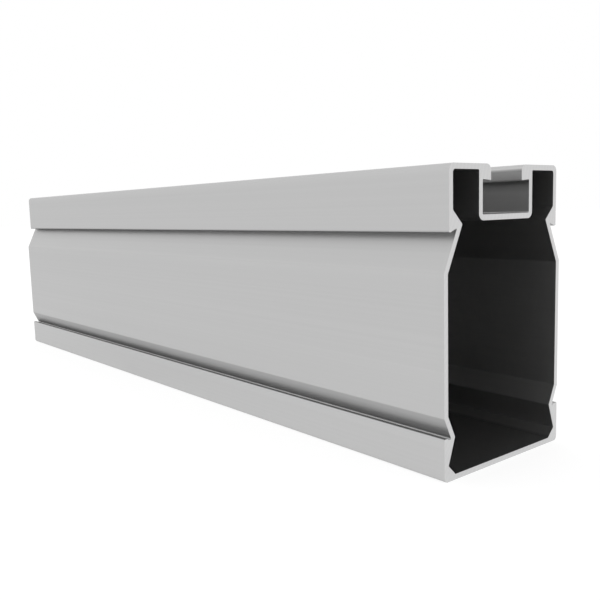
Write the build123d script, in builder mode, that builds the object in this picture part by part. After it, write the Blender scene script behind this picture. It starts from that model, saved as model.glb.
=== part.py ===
from build123d import *
import os
from math import radians, tan

# Solar mounting rail: one hollow aluminium extrusion, sawn square at both ends.
# X runs along the rail, Y across it and Z up. The origin is the middle of its underside.

# Overall size
length = 240.0
body_width = 41.5  # over the flat webs and over the lower bands
body_height = 65.4
wall = 1.2

# Top band, which carries the nut channel between its two upper corners
top_inset = 1.65  # how far its sides stand back from the webs
top_band_height = 13.75

# Lower band, at each side of the base
lower_band_height = 9.35
base_side_wall = 1.3
base_chamfer = 2.2  # inside, between the base and the lower bands

# Slopes that lean in from the flat web to the hook groove above it and below it
slope_angle = 25.0  # from the vertical
upper_slope_height = 8.1
lower_slope_height = 4.3

# Hook grooves: each band ends in a hook, flat at its tip and undercut behind, which holds a clamp
upper_hook_land = 0.5  # the flat at the tip
lower_hook_land = 0.8
upper_hook_angle = 24.0  # the undercut, from the horizontal
lower_hook_angle = 20.0
hook_radius = 0.25
land_radius = 0.15
groove_radius = 0.2

# Necks: the thick inner corners behind the grooves
upper_neck_wall = 1.6  # straight across, from the groove's corner to the hollow
lower_neck_wall = 1.1
neck_angle = 45.0

# Nut channel, which opens through a slot in the top face
slot_width = 11.0
channel_width = 16.6
channel_depth = 10.5  # from the top face to the channel's floor
lip_height = 3.4
lip_slope_angle = 4.5  # the lips are deepest at the slot, where a nut bites

# Radii of the corners
top_radius = 1.4
base_radius = 1.0
web_radius = 0.4
neck_radius = 0.3
hollow_radius = 0.7
channel_radius = 0.3
lip_radius = 0.1

half_body = body_width / 2
half_top = half_body - top_inset
half_slot = slot_width / 2
half_channel = channel_width / 2

hook_height = body_height - top_band_height
web_top = hook_height - upper_slope_height
web_bottom = lower_band_height + lower_slope_height
channel_floor = body_height - channel_depth
lip_tip = body_height - lip_height
lip_root = lip_tip + (half_channel - half_slot) * tan(radians(lip_slope_angle))

lean = tan(radians(slope_angle))


def groove_rise(reach, angle):
    """How far an undercut climbs before it meets the slope, which is reach away at the hook's level."""
    climb = tan(radians(angle))
    return reach * climb / (1 - lean * climb)


# The hook's undercut face and the slope that leaves the web meet at the groove's corner.
upper_land_end = half_top - upper_hook_land
lower_land_end = half_body - lower_hook_land
upper_reach = upper_land_end - (half_body - upper_slope_height * lean)
lower_reach = lower_land_end - (half_body - lower_slope_height * lean)
upper_rise = groove_rise(upper_reach, upper_hook_angle)
lower_rise = groove_rise(lower_reach, lower_hook_angle)
upper_corner = (half_body - (upper_slope_height + upper_rise) * lean, hook_height + upper_rise)
lower_corner = (half_body - (lower_slope_height + lower_rise) * lean, lower_band_height - lower_rise)

# Inside, the slopes keep the thickness of the wall as far as the necks.
half_hollow = half_body - wall
half_top_hollow = half_top - wall
corner_shift = wall * tan(radians(slope_angle / 2))
hollow_web_top = web_top - corner_shift
hollow_web_bottom = web_bottom + corner_shift
upper_neck = upper_corner[0] - upper_neck_wall
lower_neck = lower_corner[0] - lower_neck_wall
upper_neck_height = hollow_web_top + (half_hollow - upper_neck) / lean
lower_neck_height = hollow_web_bottom - (half_hollow - lower_neck) / lean
neck_rise = (half_top_hollow - upper_neck) / tan(radians(neck_angle))
half_base = half_body - base_side_wall

# Each corner of the two outlines, on the +Y side: its place across, its height and its radius
skin = [
    (half_channel, channel_floor, channel_radius),
    (half_channel, lip_root, channel_radius),
    (half_slot, lip_tip, lip_radius),
    (half_slot, body_height, top_radius),
    (half_top, body_height, top_radius),
    (half_top, hook_height, hook_radius),
    (upper_land_end, hook_height, land_radius),
    (*upper_corner, groove_radius),
    (half_body, web_top, web_radius),
    (half_body, web_bottom, web_radius),
    (*lower_corner, groove_radius),
    (lower_land_end, lower_band_height, land_radius),
    (half_body, lower_band_height, hook_radius),
    (half_body, 0, base_radius),
]
hollow = [
    (half_base - base_chamfer, wall, channel_radius),
    (half_base, wall + base_chamfer, channel_radius),
    (lower_neck, lower_neck_height, neck_radius),
    (half_hollow, hollow_web_bottom, web_radius),
    (half_hollow, hollow_web_top, web_radius),
    (upper_neck, upper_neck_height, neck_radius),
    (half_top_hollow, upper_neck_height + neck_rise, hollow_radius),
    (half_top_hollow, body_height - wall, hollow_radius),
    (half_channel + wall, body_height - wall, channel_radius),
    (half_channel + wall, channel_floor - wall, channel_radius + wall),
]


def half_outline(start, corners, end):
    """Half of a closed outline, from one point on the rail's middle plane to another."""
    points = [(y, z) for y, z, radius in corners]
    FilletPolyline((0, start), *points, (0, end), radius=[radius for y, z, radius in corners])


with BuildPart() as rail:
    with BuildSketch(Plane.YZ):
        with BuildLine():
            half_outline(channel_floor, skin, 0)
            mirror(about=Plane.YZ)
        make_face()
        with BuildLine():
            half_outline(wall, hollow, channel_floor - wall)
            mirror(about=Plane.YZ)
        make_face(mode=Mode.SUBTRACT)
    extrude(amount=length / 2, both=True)

rail.part.label = "rail"
os.makedirs("parts", exist_ok=True)
export_step(rail.part, "parts/rail.step")
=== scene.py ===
import math

import bpy
from mathutils import Matrix, Vector


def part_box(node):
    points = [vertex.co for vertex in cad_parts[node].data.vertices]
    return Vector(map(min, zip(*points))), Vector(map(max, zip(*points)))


# Solar mounting rail: one hollow aluminium extrusion, on a white studio floor.
# X runs along the rail, Y across it and Z up from its underside.

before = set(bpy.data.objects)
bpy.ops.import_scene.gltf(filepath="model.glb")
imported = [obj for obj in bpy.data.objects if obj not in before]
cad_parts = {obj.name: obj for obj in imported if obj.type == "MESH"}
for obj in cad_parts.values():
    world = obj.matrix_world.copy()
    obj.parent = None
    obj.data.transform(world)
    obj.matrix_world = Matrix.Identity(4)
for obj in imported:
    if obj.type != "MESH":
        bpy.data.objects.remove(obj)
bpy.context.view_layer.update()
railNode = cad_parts["rail"]
railLow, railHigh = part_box("rail")
mm = 0.001
print("frame loaded:", [round(size / mm, 1) for size in railHigh - railLow], "mm")


def hexColour(code):
    # sRGB hex to the linear colour that Blender works in, by the standard's own curve
    def linear(byte):
        share = byte / 255
        return share / 12.92 if share <= 0.04045 else ((share + 0.055) / 1.055) ** 2.4
    return (*(linear(int(code[i:i + 2], 16)) for i in (1, 3, 5)), 1.0)


def addNode(tree, kind, links=(), **settings):
    # links fill the node's inputs, by name or number, with a value or with another node's output
    node = tree.nodes.new(kind)
    for name, value in settings.items():
        setattr(node, name, value)
    for name, value in dict(links).items():
        if isinstance(value, bpy.types.NodeSocket):
            tree.links.new(value, node.inputs[name])
        else:
            node.inputs[name].default_value = value
    return node


def newTree(owner):
    owner.use_nodes = True
    owner.node_tree.nodes.clear()
    return owner.node_tree


view = {
    "place": (213.59, -133.77, 57.14),  # mm
    "turn": 50.94,  # degrees round the vertical, from looking along +Y
    "tilt": -7.15,  # degrees up from level
    "roll": -1.63,
    "fieldOfView": 44.91,
    "sensorWidth": 36,  # mm
    "nearest": 10,  # mm, the range in which the camera sees things
    "furthest": 20000,
}


def makeCamera():
    lens = bpy.data.cameras.new("camera")
    lens.sensor_width = view["sensorWidth"]
    lens.angle = math.radians(view["fieldOfView"])
    lens.clip_start = view["nearest"] * mm
    lens.clip_end = view["furthest"] * mm
    camera = bpy.data.objects.new("camera", lens)
    turn = Matrix.Rotation(math.radians(view["turn"]), 4, "Z")
    tilt = Matrix.Rotation(math.radians(90 + view["tilt"]), 4, "X")
    roll = Matrix.Rotation(math.radians(view["roll"]), 4, "Z")
    camera.matrix_world = Matrix.Translation(Vector(view["place"]) * mm) @ turn @ tilt @ roll
    bpy.context.scene.collection.objects.link(camera)
    bpy.context.scene.camera = camera


makeCamera()
print("camera placed")

bpy.context.scene.view_settings.view_transform = "Standard"

studio = {
    "backdrop": 1.0,  # strength, 1 is white
    "fill": 1.0,  # what lights matt things
    "floorSize": 8000,  # mm, far past the picture's edges
    "floorColour": "#f0f0f0",
    "floorWhite": 1.15,  # strength of the floor's plain white
    "floorShare": 0.7,  # how much of the seen floor is plain white and how much shows the light on it
}


def seenRays(tree):
    # 1 for rays that the camera sees, straight or by a reflection or through glass
    rays = addNode(tree, "ShaderNodeLightPath").outputs
    either = addNode(tree, "ShaderNodeMath", {0: rays["Is Camera Ray"], 1: rays["Is Glossy Ray"]},
                     operation="MAXIMUM")
    return addNode(tree, "ShaderNodeMath", {0: either.outputs[0], 1: rays["Is Transmission Ray"]},
                   operation="MAXIMUM").outputs[0]


def makeStudio():
    white = hexColour("#ffffff")
    world = bpy.data.worlds.new("studio")
    bpy.context.scene.world = world
    tree = newTree(world)
    fill = addNode(tree, "ShaderNodeBackground", {"Color": white, "Strength": studio["fill"]})
    backdrop = addNode(tree, "ShaderNodeBackground", {"Color": white, "Strength": studio["backdrop"]})
    both = addNode(tree, "ShaderNodeMixShader",
                   {0: seenRays(tree), 1: fill.outputs[0], 2: backdrop.outputs[0]})
    addNode(tree, "ShaderNodeOutputWorld", {"Surface": both.outputs[0]})

    bpy.ops.object.select_all(action="DESELECT")
    bpy.ops.mesh.primitive_plane_add(size=studio["floorSize"] * mm)
    floor = bpy.context.object
    floor.name = "floor"
    paper = bpy.data.materials.new("white paper floor")
    tree = newTree(paper)
    matt = addNode(tree, "ShaderNodeBsdfDiffuse", {"Color": hexColour(studio["floorColour"])})
    plain = addNode(tree, "ShaderNodeEmission", {"Color": white, "Strength": studio["floorWhite"]})
    share = addNode(tree, "ShaderNodeMath", {0: seenRays(tree), 1: studio["floorShare"]},
                    operation="MULTIPLY")
    both = addNode(tree, "ShaderNodeMixShader",
                   {0: share.outputs[0], 1: matt.outputs[0], 2: plain.outputs[0]})
    addNode(tree, "ShaderNodeOutputMaterial", {"Surface": both.outputs[0]})
    floor.data.materials.append(paper)


makeStudio()
print("studio made")

mill = {
    "colour": "#c7c7c7",  # bare aluminium, neutral and pale
    "roughness": 0.42,
    "innerRoughness": 0.37,  # inside, nothing has rubbed the skin duller
    "roughnessSpread": 0.05,
    # Die lines and the skin's uneven dullness: mm along, across and up, and how much each shows. Real
    # die lines are about a tenth as wide, too fine to show.
    "lines": {"size": (500.0, 0.7, 0.7), "detail": 3.0, "grain": 0.6, "tone": 0.04},
    "clouds": {"size": (60.0, 14.0, 14.0), "detail": 4.0, "grain": 0.55, "tone": 0.03},
    "noiseLow": 0.25,  # most of a noise lies between these two
    "noiseHigh": 0.75,
    "markDepth": 0.004,  # mm, of the die lines and the saw marks

    # mm up the rail, and how bright the skin is there, set to match the photo. It is painted light and
    # shade:
    # each face is made a little lighter or darker by how light falls on it, the grooves darker where
    # shade falls in them, and the rounded top edge lighter.
    "outerPaintedShading": ((0, 0.974), (9.2, 0.974),  # lower band
                  (9.3, 0.52), (9.5, 0.62), (9.8, 0.935), (10.5, 0.985), (11.05, 0.879),  # lower groove
                  (11.6, 0.819), (12.2, 0.796), (13, 0.794), (13.45, 0.777),
                  (13.8, 0.96), (43.6, 0.96),  # web
                  (46, 0.949), (48, 0.925), (49.3, 0.876), (50.1, 0.828), (50.7, 0.905),  # upper groove
                  (51.3, 0.93), (51.75, 0.785),
                  (52.1, 0.97), (63.2, 0.965),  # upper band
                  (64, 1), (64.6, 0.99), (65, 0.97), (65.4, 1)),  # rounded edge and top
    "hookPaintedShade": 0.4,  # painted shade on the flat tips of the hooks, standing in for the dark groove they mirror
    # Inside the rail: painted shade that darkens the hollow's walls, most on its floor
    "innerPaintedShade": ((0, 0.56), (1.5, 0.58),  # floor
                  (1.7, 0.8), (3.3, 0.8),  # chamfer
                  (3.5, 0.74), (9.2, 0.74),  # lower band
                  (9.5, 0.96), (43.1, 0.93),  # lower slope and web
                  (43.4, 0.85), (53, 0.82),  # upper slope
                  (54.5, 0.74), (55.5, 0.775), (61, 0.765), (65.4, 0.725)),  # neck and upper band
    # In the nut channel: painted shade, darkest up under the lips and along the rims
    "channelPaintedShade": ((0, 0.8), (54.9, 0.8),  # floor
                    (56.5, 0.885), (58.5, 0.905), (59.6, 0.845),  # walls
                    (60.9, 0.575), (61.9, 0.53),  # under the lips
                    (62.2, 0.86), (63.8, 0.82),  # slot
                    (64.05, 0.52), (64.3, 0.54), (64.55, 1), (65.4, 1)),  # rims
    # The share of glancing light that is reflected: painted shade dims it in the grooves, most in the
    # lower groove
    "edgePaintedShade": ((0, 0.93), (9.3, 0.93),
                 (9.5, 0.25), (10.8, 0.32), (12.2, 0.74), (13.4, 0.83),  # lower groove
                 (13.8, 0.93), (43.4, 0.93),
                 (43.7, 1), (51, 1), (51.3, 0.43), (51.9, 0.43),  # upper groove
                 (52.1, 0.93), (65.4, 0.93)),
    "plainEdgeTone": 0.93,  # inside the rail and on its sawn ends

    # Where those places are. First mm up the rail, and how far out the middle of its wall is there.
    "wallMiddle": ((0, 20.1), (3.4, 20.1), (8.8, 18.0), (9.3, 18.05), (13.75, 20.15), (43.45, 20.15),
                   (52.55, 15.9), (53.2, 16.2), (56.1, 18.5), (65.4, 18.5)),
    "floorMiddle": 0.6,  # mm up, the middles of the walls below and above the hollow
    "roofMiddle": 64.8,
    "channelMiddle": 8.9,  # mm out, the middle of the channel's walls
    "channelFloorMiddle": 54.3,  # mm up
    "hooksLow": 5.0,  # mm up, below and above all of the hooks
    "hooksHigh": 55.0,
    "level": 0.97,  # the share of its normal that points up or down, past which a face is level
    "endwise": 0.5,  # the share that points along the rail, past which a face is a sawn end

    "cutColourAndPaintedLight": "#d0d0d0",  # freshly sawn metal is brighter than the skin, and part of this brightness is painted light
    "cutRoughness": 0.36,
    "sawSpacing": 1.1,  # mm between the saw's marks; real ones are finer than the render can show
    "sawCentre": (-150.0, 110.0),  # mm across and up, the middle of the saw's blade
    "sawTone": 0.035,
    "sawWaver": 1.5,  # how far the marks stray from true arcs, and how finely
    "sawDetail": 3.0,
    "sawDetailScale": 0.6,
    "sawGrain": 0.6,
}


def curvesByHeight(tree, height):
    # The lists above that go up the rail, each as an output that gives the value at the surface's height
    level = addNode(tree, "ShaderNodeMath", {0: height, 1: railHigh.z / mm}, operation="DIVIDE")
    curves = {}
    for name, most in (("wallMiddle", railHigh.y / mm), ("outerPaintedShading", 1), ("innerPaintedShade", 1),
                       ("channelPaintedShade", 1), ("edgePaintedShade", 1)):
        curve = addNode(tree, "ShaderNodeFloatCurve", {"Value": level.outputs[0]})
        points = curve.mapping.curves[0].points
        while len(points) < len(mill[name]):
            points.new(0.5, 0.5)  # anywhere, since the next lines place every point
        for point, (up, value) in zip(points, mill[name]):
            point.location = (up * mm / railHigh.z, value / most)
            point.handle_type = "VECTOR"
        curve.mapping.update()
        curves[name] = addNode(tree, "ShaderNodeMath", {0: curve.outputs[0], 1: most},
                               operation="MULTIPLY").outputs[0]
    return curves


def railPlaces(tree, place, normal, wallMiddle):
    # For each named place, an output that is 1 there and 0 elsewhere: there, all of its tests hold
    distances = addNode(tree, "ShaderNodeVectorMath", {0: place}, operation="ABSOLUTE")
    _, across, up = addNode(tree, "ShaderNodeSeparateXYZ", {0: distances.outputs[0]}).outputs
    facing = addNode(tree, "ShaderNodeVectorMath", {0: normal}, operation="ABSOLUTE")
    endwise, _, level = addNode(tree, "ShaderNodeSeparateXYZ", {0: facing.outputs[0]}).outputs
    tests = {
        "inside": ((across, "LESS_THAN", wallMiddle),
                   (up, "GREATER_THAN", mill["floorMiddle"]),
                   (up, "LESS_THAN", mill["roofMiddle"])),
        "channel": ((across, "LESS_THAN", mill["channelMiddle"]),
                    (up, "GREATER_THAN", mill["channelFloorMiddle"])),
        "hookTips": ((level, "GREATER_THAN", mill["level"]),
                     (up, "GREATER_THAN", mill["hooksLow"]),
                     (up, "LESS_THAN", mill["hooksHigh"])),
        "sawnEnds": ((endwise, "GREATER_THAN", mill["endwise"]),),
    }
    places = {}
    for name in tests:
        places[name] = 1.0
        for value, operation, limit in tests[name]:
            test = addNode(tree, "ShaderNodeMath", {0: value, 1: limit}, operation=operation)
            places[name] = addNode(tree, "ShaderNodeMath", {0: places[name], 1: test.outputs[0]},
                                   operation="MULTIPLY").outputs[0]
    return places


def makeMillFinish():
    # Mill finish aluminium: pushed hot through a die and left bare. It is a satin metal that mirrors
    # nothing sharply, with faint straight lines along it and a little uneven dullness. Its ends are
    # sawn, which leaves brighter metal with fine curved marks; their brightness is partly painted light.
    # The grooves, the nut channel and the hollow are darkened with painted shade.
    material = bpy.data.materials.new("mill finish aluminium")
    tree = newTree(material)
    coordinates = addNode(tree, "ShaderNodeTexCoord")
    place = addNode(tree, "ShaderNodeVectorMath", {0: coordinates.outputs["Object"], "Scale": 1 / mm},
                    operation="SCALE").outputs[0]
    height = addNode(tree, "ShaderNodeSeparateXYZ", {0: place}).outputs["Z"]
    curves = curvesByHeight(tree, height)
    places = railPlaces(tree, place, coordinates.outputs["Normal"], curves["wallMiddle"])

    # Painted shade and light, by height and place
    outside = addNode(tree, "ShaderNodeMix",
                      {0: places["hookTips"], 2: curves["outerPaintedShading"], 3: mill["hookPaintedShade"]})
    inside = addNode(tree, "ShaderNodeMix",
                     {0: places["channel"], 2: curves["innerPaintedShade"], 3: curves["channelPaintedShade"]})
    paintedShading = addNode(tree, "ShaderNodeMix",
                   {0: places["inside"], 2: outside.outputs[0], 3: inside.outputs[0]})
    # Painted shade in glancing reflections, dimmest in the grooves; none inside the rail or on its sawn
    # ends
    plain = addNode(tree, "ShaderNodeMath", {0: places["inside"], 1: places["sawnEnds"]},
                    operation="MAXIMUM")
    edge = addNode(tree, "ShaderNodeMix",
                   {0: plain.outputs[0], 2: curves["edgePaintedShade"], 3: mill["plainEdgeTone"]})

    # The skin, with die lines and clouds
    skinTone = paintedShading.outputs[0]
    noises = {}
    for name in ("lines", "clouds"):
        look = mill[name]
        scaled = addNode(tree, "ShaderNodeVectorMath", {0: place, 1: look["size"]}, operation="DIVIDE")
        noises[name] = addNode(tree, "ShaderNodeTexNoise", {
            "Vector": scaled.outputs[0], "Scale": 1.0, "Detail": look["detail"],
            "Roughness": look["grain"]}).outputs[0]
        tone = addNode(tree, "ShaderNodeMapRange", {
            "Value": noises[name], "From Min": mill["noiseLow"], "From Max": mill["noiseHigh"],
            "To Min": 1 - look["tone"] / 2, "To Max": 1 + look["tone"] / 2})
        skinTone = addNode(tree, "ShaderNodeMath", {0: skinTone, 1: tone.outputs[0]},
                           operation="MULTIPLY").outputs[0]
    skinColour = addNode(tree, "ShaderNodeVectorMath", {
        0: hexColour(mill["colour"])[:3], "Scale": skinTone}, operation="SCALE")
    outerRoughness = addNode(tree, "ShaderNodeMapRange", {
        "Value": noises["clouds"], "From Min": mill["noiseLow"], "From Max": mill["noiseHigh"],
        "To Min": mill["roughness"] - mill["roughnessSpread"] / 2,
        "To Max": mill["roughness"] + mill["roughnessSpread"] / 2})
    skinRoughness = addNode(tree, "ShaderNodeMix", {
        0: places["inside"], 2: outerRoughness.outputs[0], 3: mill["innerRoughness"]})

    # The sawn ends, with arcs round the middle of the blade
    ringSpacing = math.pi / 10  # of a Wave texture whose scale is 1
    blade = addNode(tree, "ShaderNodeVectorMath", {0: place, 1: (0, *mill["sawCentre"])},
                    operation="SUBTRACT")
    marks = addNode(tree, "ShaderNodeTexWave", {
        "Vector": blade.outputs[0], "Scale": ringSpacing / mill["sawSpacing"],
        "Distortion": mill["sawWaver"], "Detail": mill["sawDetail"],
        "Detail Scale": mill["sawDetailScale"], "Detail Roughness": mill["sawGrain"]},
        wave_type="RINGS", rings_direction="X").outputs[0]
    cutTone = addNode(tree, "ShaderNodeMapRange", {
        "Value": marks, "To Min": 1 - mill["sawTone"] / 2, "To Max": 1 + mill["sawTone"] / 2})
    # The sawn ends' colour: sawn metal is brighter, and part of that brightness is painted light
    cutColourAndPaintedLight = addNode(tree, "ShaderNodeVectorMath", {
        0: hexColour(mill["cutColourAndPaintedLight"])[:3], "Scale": cutTone.outputs[0]}, operation="SCALE")

    # Both together
    sawn = places["sawnEnds"]
    colour = addNode(tree, "ShaderNodeMix", {0: sawn, 4: skinColour.outputs[0], 5: cutColourAndPaintedLight.outputs[0]},
                     data_type="VECTOR")
    roughness = addNode(tree, "ShaderNodeMix",
                        {0: sawn, 2: skinRoughness.outputs[0], 3: mill["cutRoughness"]})
    relief = addNode(tree, "ShaderNodeMix", {0: sawn, 2: noises["lines"], 3: marks})
    bump = addNode(tree, "ShaderNodeBump", {
        "Height": relief.outputs[0], "Strength": 1.0, "Distance": mill["markDepth"] * mm})
    shader = addNode(tree, "ShaderNodeBsdfPrincipled", {
        "Base Color": colour.outputs[1], "Metallic": 1.0, "Roughness": roughness.outputs[0],
        "Specular Tint": edge.outputs[0], "Normal": bump.outputs[0]})
    addNode(tree, "ShaderNodeOutputMaterial", {"Surface": shader.outputs[0]})
    return material


railNode.material_slots[0].material = makeMillFinish()
print("rail finished: mill finish aluminium, sawn ends")
